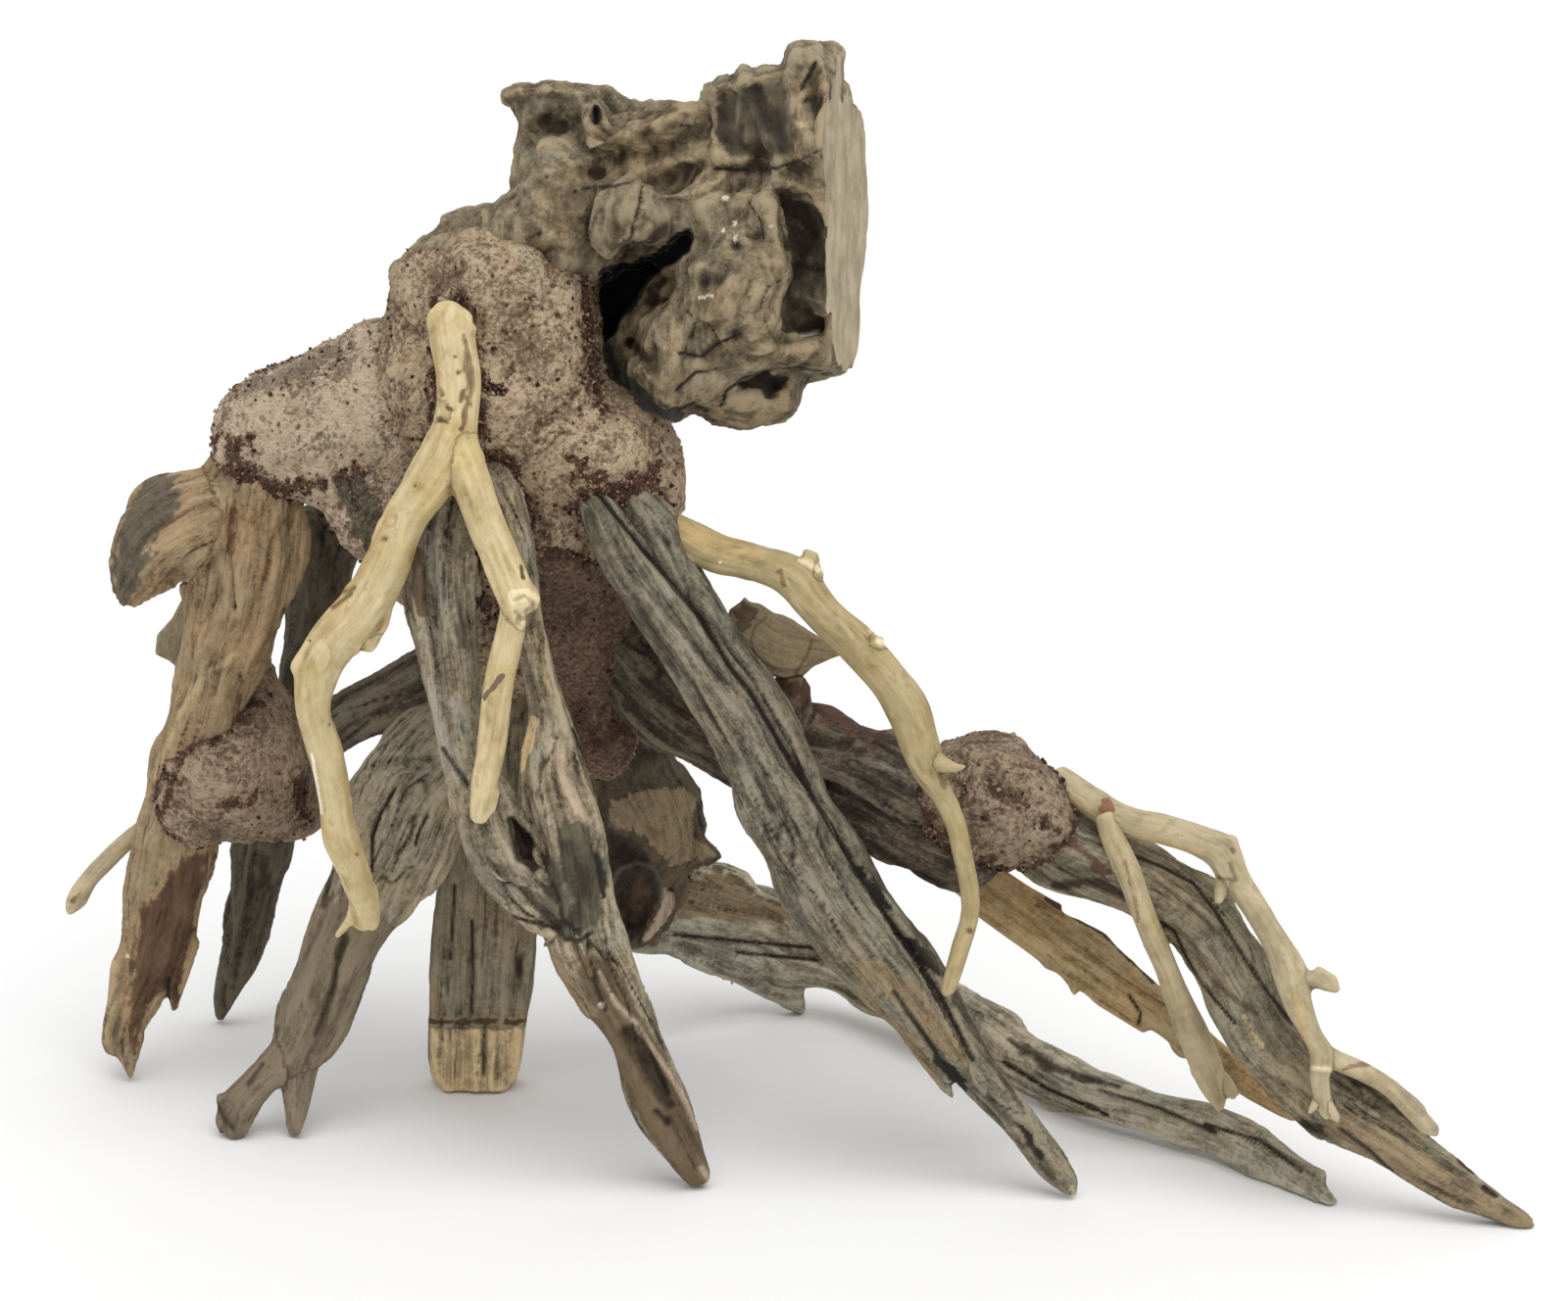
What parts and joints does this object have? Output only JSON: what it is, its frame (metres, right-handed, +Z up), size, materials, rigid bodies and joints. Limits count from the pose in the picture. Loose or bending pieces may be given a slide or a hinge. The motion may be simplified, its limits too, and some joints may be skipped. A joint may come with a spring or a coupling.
{
  "type": "aquarium driftwood",
  "caption": "Driftwood arrangement of weathered roots, a sawn burl and peeled twigs, glued together with sawdust mortar and standing on its root tips.",
  "frame": {"origin": "middle of the box round the object, on the floor", "axes": "+X along the longest side, towards the thin root at the right; +Y from front to back; +Z up"},
  "size_m": [0.3785, 0.1529, 0.2852],
  "materials": {
    "weathered_root": "dry, grey, grooved along the grain",
    "brown_root": "dry, brown, rough",
    "dark_root": "dry, dark, rough",
    "split_wood": "fresh split, fibrous",
    "peeled_twig": "peeled, pale, smooth",
    "burl_wood": "dry, olive brown, pitted, one flat sawn face",
    "sawdust_mortar": "crumbly mix of sawdust and glue"
  },
  "bodies": {
    "root": {"burl": "burl_wood", "shoulder_stump": "sawdust_mortar", "core_mortar": "sawdust_mortar", "left_mortar": "sawdust_mortar", "right_mortar": "sawdust_mortar", "brown_leg": "brown_root", "right_arm": "brown_root", "heart_chunk": "brown_root", "back_left_leg": "dark_root", "cross_branch": "dark_root", "long_leg": "weathered_root", "front_leg": "weathered_root", "grey_leg_left": "weathered_root", "far_right_leg": "weathered_root", "low_root": "weathered_root", "back_plank": "weathered_root", "tan_plank": "split_wood", "flake_chip": "split_wood", "pale_chip_left": "split_wood", "fork_twig": "peeled_twig", "arch_twig": "peeled_twig", "claw_twig": "peeled_twig", "hanging_twig": "peeled_twig", "left_twig": "peeled_twig"}
  },
  "joints": []
}
